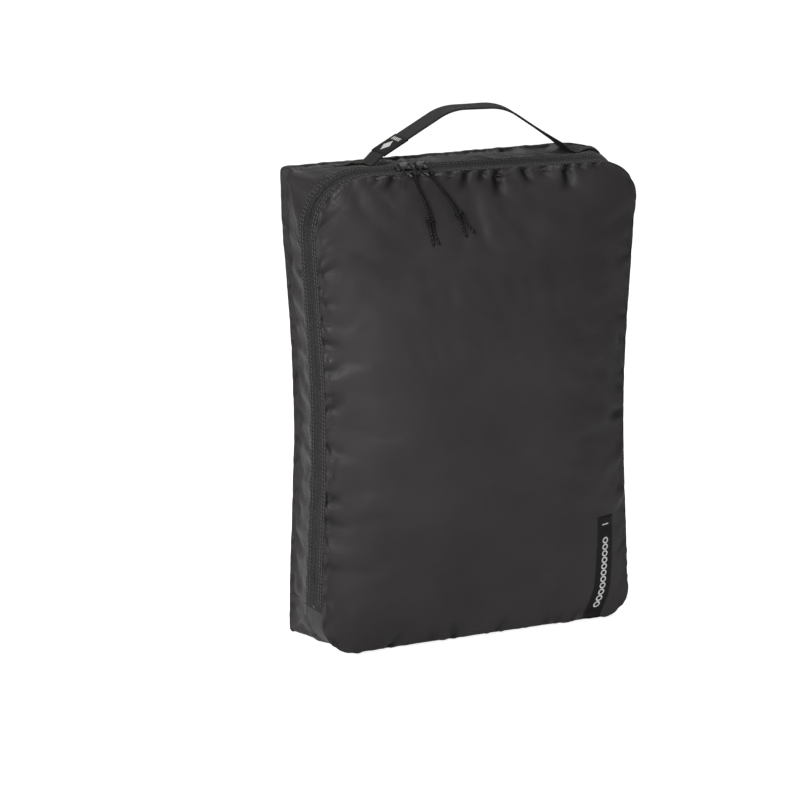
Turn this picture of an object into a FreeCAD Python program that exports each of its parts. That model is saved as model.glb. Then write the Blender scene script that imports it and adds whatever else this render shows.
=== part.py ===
"""Packing cube: a soft zipped travel bag, standing on its bottom gusset. Millimetres, +X right, +Y back, +Z up.

The bag is a flat back panel, a gusset that runs round it, a two-way zip that runs up one side, over
the top and down the other, and a front panel with a rolled rim. With the zip open, the front panel
folds down about the line that joins the two ends of the zip. The origin is the middle of the base.
"""
import FreeCAD, Part
import math
import os

V = FreeCAD.Vector

# ---- the bag
BAG_WIDTH = 250.0
BAG_HEIGHT = 358.0
BACK_Y = 38.0            # plane of the seam round the back panel
GUSSET_EDGE_Y = -2.0     # where the gusset's fabric is sewn to the zip
ZIP_Y = -15.0            # middle of the zip
PANEL_EDGE_Y = -28.0     # where the zip is sewn to the front panel
FRONT_Y = -37.0          # flat of the front panel, before its crown
BAND_TAPER = 3.0         # how far the zip band leans in, from the gusset's edge to the front panel's
TOP_RADIUS = 42.0        # front corners, at the gusset's edge
BOTTOM_RADIUS = 30.0
BACK_RADIUS = 5.0        # the back panel's corners are nearly square
FABRIC = 0.8
FRONT_CROWN = 11.0       # how far the packed bag pushes the middle of each panel out
BACK_CROWN = 10.0
FOLD_Z = 40.0            # height of the two zip ends, and of the fold between them
FOLD_GAP = 0.3           # between what folds and what stays
BASE_HALF = 80.0         # the flat of the base, to each side of the middle
BASE_MARGIN = 1.0        # from the flat of the base to the gusset's seams

# ---- the zip
TAPE = 1.0
ZIP_GAP = 1.6            # between the two tapes, which the sliders' posts run in
COIL_WIDTH = 2.7
COIL = 1.4
BINDING_WIDTH = 6.0
BINDING = 1.0
STOP_HEIGHT = 3.0

# ---- sliders and their pulls
SLIDER_X = {"left": -51.0, "right": -38.5}
SLIDER_LENGTH = 11.5
SLIDER_WIDTH = 9.5
PLATE = 1.2
SLIDE_CLEARANCE = 0.5    # between the slider's plates and the zip
POST_WIDTH = 0.8
POST_LENGTH = 2.5
CROWN_LENGTH = 6.0
CROWN_WIDTH = 3.4
PIVOT_RISE = 2.2         # from the slider's top plate to the pull's pivot
WIRE = 1.6               # diameter
PIVOT_CLEARANCE = 0.1    # radial
PULL_LENGTH = 23.0       # from the pivot to the middle of the wire at the end
PULL_SIDE_GAP = 0.3
PULL_DROOP = 13.0        # degrees below level
CORD = 2.0               # diameter
KNOT_RADIUS = 3.1
KNOT_LENGTH = 7.5

# ---- the handle
WEBBING_WIDTH = 25.0
WEBBING = 1.6
HANDLE_X = 13.0          # middle of the handle
HANDLE_Y = 18.0
HANDLE_REACH = 82.0      # from the middle to where the webbing leaves the bag
HANDLE_RISE = 34.5       # of the webbing's middle line
SEWN_LENGTH = 18.0
ROOT_BEND = 9.0          # radius of the bend where the webbing leaves the bag
ROOT_HEIGHT = 13.5       # the webbing below this height bends, and the rest swings
SWING_GAP = 0.3
STITCH = 0.4
TAG_LENGTH = 21.0
TAG = 0.5
TAG_START = 14.5         # height of the tag's lower end

# ---- the label on the front
LABEL_X = 101.0
LABEL_WIDTH = 13.4
LABEL_TOP = 88.0
LABEL = 0.6

# ---- each pull's cord, as two halves that hang from the top of its fold over the wire: chosen points
CORD_POINTS = {
    "left_outer": [
        (-51.3, -37.5, 358.1), (-51.4, -40.2, 358.0), (-51.2, -41.2, 354.0), (-50.2, -42.2, 348.0),
        (-47.0, -43.7, 340.5), (-43.8, -44.9, 332.0), (-42.7, -45.0, 323.5), (-41.2, -45.4, 314.4),
        (-39.2, -44.9, 305.8),
    ],
    "left_inner": [
        (-51.3, -37.5, 358.1), (-51.2, -34.8, 358.2), (-51.0, -34.0, 355.3), (-50.0, -38.1, 351.4),
        (-47.6, -40.8, 345.2), (-44.2, -42.6, 337.6), (-41.2, -44.2, 329.6), (-40.2, -44.8, 321.2),
        (-38.3, -44.6, 313.2), (-34.9, -45.2, 306.8),
    ],
    "right_outer": [
        (-38.7, -37.5, 358.1), (-38.9, -40.2, 358.0), (-38.0, -41.2, 354.2), (-35.0, -42.6, 348.6),
        (-30.1, -44.0, 341.6), (-25.2, -45.1, 334.4), (-20.9, -45.5, 326.8), (-17.9, -46.0, 318.6),
        (-14.4, -45.2, 311.0),
    ],
    "right_inner": [
        (-38.7, -37.5, 358.1), (-38.5, -34.8, 358.2), (-38.0, -34.0, 355.3), (-36.3, -38.1, 351.6),
        (-32.0, -41.0, 346.2), (-26.8, -42.5, 339.6), (-22.0, -43.7, 332.6), (-17.4, -44.4, 325.8),
        (-13.6, -44.8, 318.8), (-8.6, -46.0, 313.6),
    ],
}
KNOT_AT = {"outer": 6, "inner": 7}   # the point of each half that lies in the knot

BAND_LEAN = math.degrees(math.atan2(BAND_TAPER, GUSSET_EDGE_Y - PANEL_EDGE_Y))
PANEL_ROLL = PANEL_EDGE_Y - FRONT_Y
COIL_DEPTH = TAPE + COIL
ALL_Y = 200.0


def box(x, y, z):
    """A box from its three ranges."""
    return Part.makeBox(x[1] - x[0], y[1] - y[0], z[1] - z[0], V(x[0], y[0], z[0]))


def above(z):
    return box((-500, 500), (-ALL_Y, ALL_Y), (z, 1000))


def below(z):
    return box((-500, 500), (-ALL_Y, ALL_Y), (-500, z))


def outline(y, inset, top_radius, bottom_radius):
    """The bag's outline at depth y, moved in by inset: a rectangle with round corners."""
    half, low, high = BAG_WIDTH / 2 - inset, inset, BAG_HEIGHT - inset
    corners = [(half, high, top_radius, 0), (-half, high, top_radius, 90),
               (-half, low, bottom_radius, 180), (half, low, bottom_radius, 270)]
    ends, arcs = [], []
    for x, z, radius, start in corners:
        radius = radius - inset
        centre = (x - math.copysign(radius, x), z - radius if z == high else z + radius)
        on = [V(centre[0] + radius * math.cos(math.radians(start + a)), y,
                centre[1] + radius * math.sin(math.radians(start + a))) for a in (0, 45, 90)]
        arcs.append(Part.Arc(*on).toShape())
        ends.append((on[0], on[2]))
    edges = []
    for i in range(4):
        edges += [arcs[i], Part.LineSegment(ends[i][1], ends[(i + 1) % 4][0]).toShape()]
    return Part.Wire(edges)


def band_inset(y):
    """How far the zip band stands inside the bag's outline at depth y."""
    return BAND_TAPER * (GUSSET_EDGE_Y - y) / (GUSSET_EDGE_Y - PANEL_EDGE_Y)


def gusset_radii(y):
    """The gusset's top and bottom corner radii at depth y, where it squares up towards the back."""
    share = (y - GUSSET_EDGE_Y) / (BACK_Y - GUSSET_EDGE_Y)
    return [r + (BACK_RADIUS - r) * share for r in (TOP_RADIUS, BOTTOM_RADIUS)]


def ring(y_from, y_to, depth_out, depth_in):
    """A band round the bag between two depths, from depth_out to depth_in below its surface."""
    solids = []
    for depth in (depth_out, depth_in):
        wires = []
        for y in (y_from, y_to):
            if y <= GUSSET_EDGE_Y:
                wires.append(outline(y, band_inset(y) + depth, TOP_RADIUS, BOTTOM_RADIUS))
            else:
                wires.append(outline(y, depth, *gusset_radii(y)))
        solids.append(Part.makeLoft(wires, True, True))
    return solids[0].cut(solids[1])


def front_block(depth):
    """The front panel's body, moved in by depth: the outline pushed forward, with a rolled rim."""
    back, front = PANEL_EDGE_Y + 2, FRONT_Y + depth
    face = Part.Face(outline(back, BAND_TAPER + depth, TOP_RADIUS, BOTTOM_RADIUS))
    block = face.extrude(V(0, front - back, 0))
    rim = [e for e in block.Edges if all(abs(v.Y - front) < 1e-6 for v in e.Vertexes)]
    return block.makeFillet(PANEL_ROLL - depth, rim)


def prism(inset, y_from, y_to, top_radius=TOP_RADIUS, bottom_radius=BOTTOM_RADIUS):
    face = Part.Face(outline(y_from, inset, top_radius, bottom_radius))
    return face.extrude(V(0, y_to - y_from, 0))


def pillow(x_half, z_low, z_high, y, crown, thickness):
    """A sheet that swells by crown in the middle and is flat at its four edges.
    The swell is 16 crown u(1-u) v(1-v); thickness is along Y, and its sign says to which side."""
    grid = [[V(x, y + (4 * crown if i == j == 1 else 0), z)
             for j, z in enumerate((z_low, (z_low + z_high) / 2, z_high))]
            for i, x in enumerate((-x_half, 0, x_half))]
    patch = Part.BezierSurface()
    patch.increase(2, 2)
    for i in range(3):
        for j in range(3):
            patch.setPole(i + 1, j + 1, grid[i][j])
    return patch.toShape().extrude(V(0, thickness, 0))


def lid_pillow(offset, thickness):
    """A sheet on the lid's crowned face, offset outwards from its skin."""
    inset = BAND_TAPER + PANEL_ROLL
    return pillow(BAG_WIDTH / 2 - inset, FOLD_Z, BAG_HEIGHT - inset, FRONT_Y - offset,
                  -FRONT_CROWN, thickness)


# ---- the shell
def gusset_nodes():
    """The gusset's fabric: the strip with the zip, in three, and the bottom piece below the zip."""
    strip = ring(GUSSET_EDGE_Y, BACK_Y, 0, FABRIC)
    corner_z = BAG_HEIGHT - TOP_RADIUS
    bottom = ring(PANEL_EDGE_Y, GUSSET_EDGE_Y, 0, FABRIC).fuse(strip).common(below(FOLD_Z))
    flat = (-BASE_HALF, BASE_HALF), (GUSSET_EDGE_Y + BASE_MARGIN, BACK_Y - BASE_MARGIN)
    bottom = bottom.cut(box(*flat, (-FABRIC, 2 * FABRIC))).fuse(box(*flat, (0, FABRIC)))
    middle = strip.common(above(FOLD_Z)).common(below(corner_z))
    return {
        "top_gusset": strip.common(above(corner_z)),
        "left_gusset": middle.common(box((-500, 0), (-ALL_Y, ALL_Y), (-1, 1000))),
        "right_gusset": middle.common(box((0, 500), (-ALL_Y, ALL_Y), (-1, 1000))),
        "bottom_gusset": bottom.removeSplitter(),
    }


def back_panel():
    sheet = pillow(BAG_WIDTH / 2, 0, BAG_HEIGHT, BACK_Y, BACK_CROWN, -FABRIC)
    return sheet.common(prism(FABRIC, BACK_Y - 5, BACK_Y + BACK_CROWN + 5, BACK_RADIUS, BACK_RADIUS))


def rim_shell():
    """The front panel's skin with its rolled rim, before the crown."""
    shell = front_block(0).cut(front_block(FABRIC))
    return shell.common(box((-500, 500), (-ALL_Y, PANEL_EDGE_Y), (-10, 1000)))


def front_panel():
    window = prism(BAND_TAPER + PANEL_ROLL, FRONT_Y - 1, FRONT_Y + 2 * FABRIC)
    sheet = lid_pillow(0, FABRIC).common(
        prism(BAND_TAPER + PANEL_ROLL - FABRIC / 2, FRONT_Y - FRONT_CROWN - 2, FRONT_Y + 2))
    return rim_shell().cut(window).fuse(sheet).common(above(FOLD_Z + FOLD_GAP / 2)).removeSplitter()


def front_panel_foot():
    return rim_shell().common(below(FOLD_Z - FOLD_GAP / 2))


def zip_half(y_from, y_to, depth_out, depth_in):
    return ring(y_from, y_to, depth_out, depth_in).common(above(FOLD_Z + FOLD_GAP / 2))


def zip_nodes():
    gusset_side, lid_side = ZIP_Y + ZIP_GAP / 2, ZIP_Y - ZIP_GAP / 2
    return {
        "gusset_zip_tape": zip_half(gusset_side, GUSSET_EDGE_Y, 0, TAPE),
        "gusset_zip_coil": zip_half(gusset_side, gusset_side + COIL_WIDTH, TAPE, COIL_DEPTH),
        "lid_zip_tape": zip_half(PANEL_EDGE_Y, lid_side, 0, TAPE),
        "lid_zip_coil": zip_half(lid_side - COIL_WIDTH, lid_side, TAPE, COIL_DEPTH),
    }


def zip_stop(side):
    """The stop at one end of the zip, inside the bottom gusset just under the fold."""
    stop = ring(ZIP_Y - COIL_WIDTH, ZIP_Y + COIL_WIDTH, FABRIC, COIL_DEPTH)
    x = (0, 500) if side > 0 else (-500, 0)
    return stop.common(box(x, (-ALL_Y, ALL_Y), (FOLD_Z - 0.5 - STOP_HEIGHT, FOLD_Z - 0.5)))


def binding_nodes():
    """The bound seam allowances inside: round the back panel, and round the front panel's rim."""
    front = (PANEL_EDGE_Y + 0.2, PANEL_EDGE_Y + 0.2 + BINDING_WIDTH)
    return {
        "back_seam_binding": ring(BACK_Y - 1.5 - BINDING_WIDTH, BACK_Y - 1.5, FABRIC, FABRIC + BINDING),
        "lid_seam_binding": zip_half(*front, TAPE, TAPE + BINDING),
        "bottom_seam_binding": ring(*front, FABRIC, FABRIC + BINDING).common(below(FOLD_Z - FOLD_GAP / 2)),
    }


def label_nodes():
    """The woven label: on the lid down to the fold, then over the foot and round its roll.
    On the lid it stops short by its own thickness, which the two ends need as the lid folds down."""
    x = (LABEL_X - LABEL_WIDTH / 2, LABEL_X + LABEL_WIDTH / 2)
    strip = lid_pillow(0, -LABEL).common(
        box(x, (-ALL_Y, ALL_Y), (FOLD_Z + FOLD_GAP + LABEL, LABEL_TOP)))
    wrap = front_block(-LABEL).cut(front_block(0)).common(
        box(x, (-ALL_Y, PANEL_EDGE_Y), (-10, FOLD_Z - FOLD_GAP / 2)))
    return {"label_strip": strip, "label_foot": wrap}


# ---- the sliders and pulls
def slider_frame(x):
    """Where a slider sits: on the zip band's surface, leaning with it."""
    place = FreeCAD.Placement(V(x, ZIP_Y, BAG_HEIGHT - band_inset(ZIP_Y)),
                              FreeCAD.Rotation(V(1, 0, 0), BAND_LEAN))
    return place


PIVOT_Z = SLIDE_CLEARANCE + PLATE + PIVOT_RISE   # above the band, in the slider's own frame


def slider(side):
    """One slider: two plates joined by a post that parts the coils, and a crown bored for the pull."""
    facing = 1 if side == "left" else -1
    half, wide = SLIDER_LENGTH / 2, SLIDER_WIDTH / 2
    top, under = SLIDE_CLEARANCE, -COIL_DEPTH - SLIDE_CLEARANCE - 0.3
    plate = box((-half, half), (-wide, wide), (top, top + PLATE))
    plate = plate.makeFillet(2.2, [e for e in plate.Edges if abs(e.Vertexes[0].Z - e.Vertexes[1].Z) > 1])
    lower = box((-half, half), (-wide, wide), (under - PLATE, under))
    lower = lower.makeFillet(2.2, [e for e in lower.Edges if abs(e.Vertexes[0].Z - e.Vertexes[1].Z) > 1])
    flange = box((-half + 2.5, half - 2.5), (-wide, -wide + 0.8), (under, -TAPE - SLIDE_CLEARANCE))
    post_x = sorted((facing * (half - 0.5), facing * (half - 0.5 - POST_LENGTH)))
    post = box(post_x, (-POST_WIDTH / 2, POST_WIDTH / 2), (under - PLATE / 2, top + PLATE / 2))
    crown_top = PIVOT_Z + WIRE / 2 + 0.7
    crown = box((-CROWN_LENGTH / 2, CROWN_LENGTH / 2), (-CROWN_WIDTH / 2, CROWN_WIDTH / 2),
                (top + PLATE / 2, crown_top))
    crown = crown.makeFillet(1.1, [e for e in crown.Edges if all(abs(v.Z - crown_top) < 1e-6
                                                                 for v in e.Vertexes)])
    bore = Part.makeCylinder(WIRE / 2 + PIVOT_CLEARANCE, SLIDER_LENGTH,
                             V(-half, 0, PIVOT_Z), V(1, 0, 0))
    body = plate.fuse([lower, flange, post, crown]).cut(bore).removeSplitter()
    body.Placement = slider_frame(SLIDER_X[side])
    return body


def pivot_point(side):
    return slider_frame(SLIDER_X[side]).multVec(V(0, 0, PIVOT_Z))


def pull_wire(side):
    """A closed wire loop: a bar through the crown, two side wires, and a round end."""
    reach = CROWN_LENGTH / 2 + PULL_SIDE_GAP + WIRE / 2
    corner = WIRE * 0.8
    end = PULL_LENGTH - reach
    s = corner * (1 - math.sqrt(0.5))
    points = {
        "bar": (V(-reach + corner, 0, 0), V(reach - corner, 0, 0)),
        "turn_right": (V(reach - corner, 0, 0), V(reach - s, -s, 0), V(reach, -corner, 0)),
        "side_right": (V(reach, -corner, 0), V(reach, -end, 0)),
        "end": (V(reach, -end, 0), V(0, -PULL_LENGTH, 0), V(-reach, -end, 0)),
        "side_left": (V(-reach, -end, 0), V(-reach, -corner, 0)),
        "turn_left": (V(-reach, -corner, 0), V(-reach + s, -s, 0), V(-reach + corner, 0, 0)),
    }
    edges = [(Part.LineSegment if len(p) == 2 else Part.Arc)(*p).toShape() for p in points.values()]
    section = Part.Wire(Part.makeCircle(WIRE / 2, V(0, 0, 0), V(1, 0, 0)))
    loop = Part.Wire(edges).makePipeShell([section], True, True)
    loop.Placement = FreeCAD.Placement(pivot_point(side), FreeCAD.Rotation(V(1, 0, 0), PULL_DROOP))
    return loop


def cord_path(points):
    """Straight runs joined by tangent arcs, each as large as its two runs allow; and the radii."""
    points = [V(*p) for p in points]
    edges, radii, at = [], [], points[0]
    for before, here, after in zip(points, points[1:], points[2:]):
        into, out = (here - before), (after - here)
        cut = 0.45 * min(into.Length, out.Length)
        half_turn = into.getAngle(out) / 2
        radii.append(cut / math.tan(half_turn))
        into.normalize()
        out.normalize()
        start, stop = here - into * cut, here + out * cut
        inward = (out - into).normalize()
        middle = here + inward * (radii[-1] / math.cos(half_turn) - radii[-1])
        edges += [Part.LineSegment(at, start).toShape(), Part.Arc(start, middle, stop).toShape()]
        at = stop
    edges.append(Part.LineSegment(at, points[-1]).toShape())
    return Part.Wire(edges), radii


def pull_cord(half):
    path, radii = cord_path(CORD_POINTS[half])
    first, second = (V(*p) for p in CORD_POINTS[half][:2])
    section = Part.Wire(Part.makeCircle(CORD / 2, first, second - first))
    tube = path.makePipeShell([section], True, True)
    ideal = math.pi * CORD ** 2 / 4 * path.Length
    print(half, "cord", round(path.Length, 1), "long, radii", [round(r, 1) for r in radii],
          "volume over ideal", round(tube.Volume / ideal, 3))
    return tube


def pull_knot(side):
    """The knot that holds the cord's two halves together: a fat barrel round both."""
    middle, up = V(0, 0, 0), V(0, 0, 0)
    for half, i in KNOT_AT.items():
        before, here, after = (V(*p) for p in CORD_POINTS[side + "_" + half][i - 1:i + 2])
        middle += here * 0.5
        up += before - after
    up.normalize()
    barrel = Part.makeCylinder(KNOT_RADIUS, KNOT_LENGTH, middle - up * (KNOT_LENGTH / 2), up)
    ends = [e for e in barrel.Edges if len(e.Vertexes) == 1]
    return barrel.makeFillet(KNOT_RADIUS * 0.75, ends)


# ---- the handle
WEB_Y = (HANDLE_Y - WEBBING_WIDTH / 2, HANDLE_Y + WEBBING_WIDTH / 2)
BEND_TURN = 2 * math.atan2(HANDLE_RISE, HANDLE_REACH)
ARCH_RADIUS = HANDLE_REACH / math.sin(BEND_TURN) - ROOT_BEND
ROOT_Z = BAG_HEIGHT + WEBBING / 2                 # middle of the webbing where it lies on the bag
ARCH_Z = ROOT_Z + HANDLE_RISE - ARCH_RADIUS       # height of the arch's centre


def arch_turn(height):
    """Angle from the top of the arch, in radians, at which it is this high above the bag."""
    return math.acos((ROOT_Z + height - ARCH_Z) / ARCH_RADIUS)


def arc_strip(x, z, radius, thickness, turn_from, turn_to, y):
    """A strip of webbing along an arc about (x, z); turns are radians from straight up, + to +X."""
    loops = []
    for r in (radius - thickness / 2, radius + thickness / 2):
        loops.append([V(x + r * math.sin(a), y[0], z + r * math.cos(a))
                      for a in (turn_from, (turn_from + turn_to) / 2, turn_to)])
    inner, outer = loops
    face = Part.Face(Part.Wire([
        Part.Arc(*inner).toShape(), Part.LineSegment(inner[2], outer[2]).toShape(),
        Part.Arc(*outer[::-1]).toShape(), Part.LineSegment(outer[0], inner[0]).toShape()]))
    return face.extrude(V(0, y[1] - y[0], 0))


def handle_strap():
    turn = arch_turn(ROOT_HEIGHT) - SWING_GAP / ARCH_RADIUS
    return arc_strip(HANDLE_X, ARCH_Z, ARCH_RADIUS, WEBBING, -turn, turn, WEB_Y)


def handle_root(sign):
    """The bend between the sewn end and the part of the webbing that swings."""
    start_x = HANDLE_X + sign * HANDLE_REACH
    bend = arc_strip(start_x, ROOT_Z + ROOT_BEND, ROOT_BEND, WEBBING,
                     math.pi, math.pi + sign * BEND_TURN, WEB_Y)
    rise = arc_strip(HANDLE_X, ARCH_Z, ARCH_RADIUS, WEBBING,
                     sign * BEND_TURN, sign * arch_turn(ROOT_HEIGHT), WEB_Y)
    return bend.fuse(rise).removeSplitter()


def handle_end(sign, depth_out, depth_in, margin):
    """A patch on the top gusset where the webbing is sewn down, smaller by margin all round."""
    ends = (HANDLE_X + sign * HANDLE_REACH, HANDLE_X + sign * (HANDLE_REACH + SEWN_LENGTH))
    x = (min(ends) + margin, max(ends) - margin)
    patch = ring(GUSSET_EDGE_Y, BACK_Y, depth_out, depth_in)
    return patch.common(box(x, (WEB_Y[0] + margin, WEB_Y[1] - margin), (BAG_HEIGHT / 2, 1000)))


def size_tag():
    """The woven tag folded round the webbing: a flat sleeve open at both ends."""
    turn = -arch_turn(TAG_START)
    turns = (turn, turn + TAG_LENGTH / ARCH_RADIUS)
    gap = 0.2
    outside = (WEB_Y[0] - gap - TAG, WEB_Y[1] + gap + TAG)
    inside = (WEB_Y[0] - gap, WEB_Y[1] + gap)
    outer = arc_strip(HANDLE_X, ARCH_Z, ARCH_RADIUS, WEBBING + 2 * gap + 2 * TAG, *turns, outside)
    inner = arc_strip(HANDLE_X, ARCH_Z, ARCH_RADIUS, WEBBING + 2 * gap, turns[0] - 0.01,
                      turns[1] + 0.01, inside)
    return outer.cut(inner)


def build():
    nodes = {
        "back_panel": back_panel(),
        "front_panel": front_panel(),
        "front_panel_foot": front_panel_foot(),
        "handle_strap": handle_strap(),
        "size_tag": size_tag(),
    }
    nodes.update(gusset_nodes())
    nodes.update(zip_nodes())
    nodes.update(binding_nodes())
    nodes.update(label_nodes())
    for side, sign in (("left", -1), ("right", 1)):
        nodes["zip_end_stop_" + side] = zip_stop(sign)
        nodes["handle_end_" + side] = handle_end(sign, -WEBBING, 0, 0)
        nodes["handle_stitching_" + side] = handle_end(sign, -WEBBING - STITCH, -WEBBING, 2.5)
        nodes["handle_root_" + side] = handle_root(sign)
        nodes["slider_" + side] = slider(side)
        nodes["pull_wire_" + side] = pull_wire(side)
        nodes["pull_knot_" + side] = pull_knot(side)
        for half in KNOT_AT:
            nodes["pull_cord_" + side + "_" + half] = pull_cord(side + "_" + half)
    return nodes


os.makedirs("parts", exist_ok=True)
for name, shape in sorted(build().items()):
    if not shape.isValid() or not shape.Solids:
        print("look at", name, shape.isValid(), len(shape.Solids))
    shape.exportStep("parts/" + name + ".step")
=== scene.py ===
import math

import bpy
import numpy as np
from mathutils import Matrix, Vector


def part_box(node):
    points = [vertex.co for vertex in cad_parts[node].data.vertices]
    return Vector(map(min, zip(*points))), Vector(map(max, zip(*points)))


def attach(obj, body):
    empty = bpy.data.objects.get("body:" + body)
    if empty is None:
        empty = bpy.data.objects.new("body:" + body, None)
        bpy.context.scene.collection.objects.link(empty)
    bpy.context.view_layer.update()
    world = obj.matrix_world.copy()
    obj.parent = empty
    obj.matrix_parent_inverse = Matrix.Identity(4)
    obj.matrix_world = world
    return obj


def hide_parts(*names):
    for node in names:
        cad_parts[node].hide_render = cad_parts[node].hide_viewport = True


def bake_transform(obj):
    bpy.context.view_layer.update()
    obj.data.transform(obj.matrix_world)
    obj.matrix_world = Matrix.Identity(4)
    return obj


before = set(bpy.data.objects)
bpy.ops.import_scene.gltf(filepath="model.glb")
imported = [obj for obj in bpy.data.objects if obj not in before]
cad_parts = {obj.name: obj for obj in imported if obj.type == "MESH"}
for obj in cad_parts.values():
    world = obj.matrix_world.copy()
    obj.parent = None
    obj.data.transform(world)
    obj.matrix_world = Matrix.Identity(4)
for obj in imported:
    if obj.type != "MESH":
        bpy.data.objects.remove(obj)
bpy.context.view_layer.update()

# ---------------- the camera
# A long lens in front of the bag and to its left, a little above it, as for a plain catalogue view
# of something that stands on a table.
CAMERA_TURN, CAMERA_RISE, CAMERA_DISTANCE = math.radians(-22), math.radians(15), 1.65
LENS, SENSOR, SHIFT, AIM_HEIGHT = 100.0, 36.0, -0.077, 0.1788


def look_at(thing, place, target):
    thing.location = place
    thing.rotation_euler = (Vector(target) - Vector(place)).to_track_quat("-Z", "Y").to_euler()


camera_data = bpy.data.cameras.new("camera")
camera_data.lens, camera_data.sensor_width, camera_data.shift_x = LENS, SENSOR, SHIFT
camera = bpy.data.objects.new("camera", camera_data)
bpy.context.scene.collection.objects.link(camera)
look_at(camera, (CAMERA_DISTANCE * math.sin(CAMERA_TURN) * math.cos(CAMERA_RISE),
                 -CAMERA_DISTANCE * math.cos(CAMERA_TURN) * math.cos(CAMERA_RISE),
                 AIM_HEIGHT + CAMERA_DISTANCE * math.sin(CAMERA_RISE)), (0, 0, AIM_HEIGHT))
bpy.context.scene.camera = camera


# ---------------- the pulls' cords and knots
# Thin braided cord, cut and knotted: on each wire pull two halves hang from the top of the fold over
# the wire, a knot holds them together, and the two cut ends hang below it.
CORD_DIAMETER = 0.002
KNOT_SIZE = 0.00118
BRAID = 190.0                               # how fast the strands turn along the cord
# The cord's colours: painted shade between its strands and a painted highlight on their tops.
CORD_GROOVE_SHADE, CORD_STRAND_HIGHLIGHT = (0.002, 0.002, 0.002), (0.014, 0.014, 0.014)
CORD_POINTS = {
    "left_outer": [
        (-0.0513, -0.0375, 0.3581), (-0.0514, -0.0402, 0.3580), (-0.0512, -0.0412, 0.3540),
        (-0.0502, -0.0422, 0.3480), (-0.0470, -0.0437, 0.3405), (-0.0438, -0.0449, 0.3320),
        (-0.0427, -0.0450, 0.3235), (-0.0412, -0.0454, 0.3144), (-0.0392, -0.0449, 0.3058),
    ],
    "left_inner": [
        (-0.0513, -0.0375, 0.3581), (-0.0512, -0.0348, 0.3582), (-0.0510, -0.0340, 0.3553),
        (-0.0500, -0.0381, 0.3514), (-0.0476, -0.0408, 0.3452), (-0.0442, -0.0426, 0.3376),
        (-0.0412, -0.0442, 0.3296), (-0.0402, -0.0448, 0.3212), (-0.0383, -0.0446, 0.3132),
        (-0.0349, -0.0452, 0.3068),
    ],
    "right_outer": [
        (-0.0387, -0.0375, 0.3581), (-0.0389, -0.0402, 0.3580), (-0.0380, -0.0412, 0.3542),
        (-0.0350, -0.0426, 0.3486), (-0.0301, -0.0440, 0.3416), (-0.0252, -0.0451, 0.3344),
        (-0.0209, -0.0455, 0.3268), (-0.0179, -0.0460, 0.3186), (-0.0144, -0.0452, 0.3110),
    ],
    "right_inner": [
        (-0.0387, -0.0375, 0.3581), (-0.0385, -0.0348, 0.3582), (-0.0380, -0.0340, 0.3553),
        (-0.0363, -0.0381, 0.3516), (-0.0320, -0.0410, 0.3462), (-0.0268, -0.0425, 0.3396),
        (-0.0220, -0.0437, 0.3326), (-0.0174, -0.0444, 0.3258), (-0.0136, -0.0448, 0.3188),
        (-0.0086, -0.0460, 0.3136),
    ],
}


def unit(vectors):
    return vectors / np.maximum(np.linalg.norm(vectors, axis=-1, keepdims=True), 1e-12)


def nurbs(name, points, radius, cyclic=False):
    """A smooth round cord on a NURBS spline with the points as its control points."""
    data = bpy.data.curves.new(name, "CURVE")
    data.dimensions, data.bevel_depth, data.bevel_resolution = "3D", radius, 5
    data.resolution_u, data.use_fill_caps = 10, True
    spline = data.splines.new("NURBS")
    spline.points.add(len(points) - 1)
    for point, place in zip(spline.points, points):
        point.co = (*place, 1)
    spline.order_u = 3
    spline.use_endpoint_u = not cyclic
    spline.use_cyclic_u = cyclic
    curve = bpy.data.objects.new(name, data)
    bpy.context.scene.collection.objects.link(curve)
    return curve


def knot_points(middle, up, size=KNOT_SIZE, count=18):
    """A trefoil about middle: (sin t + 2 sin 2t, cos t - 2 cos 2t, -1.2 sin 3t) times size, along up."""
    t = np.arange(count) * 2 * math.pi / count
    side = unit(np.cross(up, (0, 1, 0)))
    front = np.cross(side, up)
    local = np.stack([np.sin(t) + 2 * np.sin(2 * t), np.cos(t) - 2 * np.cos(2 * t), -1.2 * np.sin(3 * t)], axis=1)
    return middle + size * (local[:, :1] * side * 0.85 + local[:, 1:2] * up + local[:, 2:] * front)


def shader(tree, kind, inputs=None, **settings):
    """A shader node with its settings; an input is a value, or another node's output to link."""
    made = tree.nodes.new(kind)
    for key, value in settings.items():
        setattr(made, key, value)
    for key, value in (inputs or {}).items():
        if isinstance(value, bpy.types.NodeSocket):
            tree.links.new(value, made.inputs[key])
        else:
            made.inputs[key].default_value = value
    return made


def maths(tree, operation, *values):
    made = tree.nodes.new("ShaderNodeMath")
    made.operation = operation
    for socket, value in zip(made.inputs, values):
        if isinstance(value, bpy.types.NodeSocket):
            tree.links.new(value, socket)
        else:
            socket.default_value = value
    return made.outputs[0]


def coordinates(tree, scale=(1, 1, 1), uv=None):
    """The piece's own coordinates times scale: Object coordinates, or a UV map's."""
    if uv:
        place = shader(tree, "ShaderNodeUVMap", uv_map=uv).outputs["UV"]
    else:
        place = shader(tree, "ShaderNodeTexCoord").outputs["Object"]
    return shader(tree, "ShaderNodeMapping", {"Vector": place, "Scale": scale}).outputs["Vector"]


def on_surface(tree, uv="UVMap"):
    """The two coordinates of a UV map, in metres: along a strip and across it, or x and z."""
    split = shader(tree, "ShaderNodeSeparateXYZ", {"Vector": coordinates(tree, uv=uv)}).outputs
    return split["X"], split["Y"]


def ribs(tree, value, turn):
    """sin(turn x value)."""
    return maths(tree, "SINE", maths(tree, "MULTIPLY", value, turn))


def ramp(tree, fac, low, high, to_low=0.0, to_high=1.0):
    return shader(tree, "ShaderNodeMapRange", {"Value": fac, "From Min": low, "From Max": high,
                                               "To Min": to_low, "To Max": to_high}).outputs["Result"]


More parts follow.
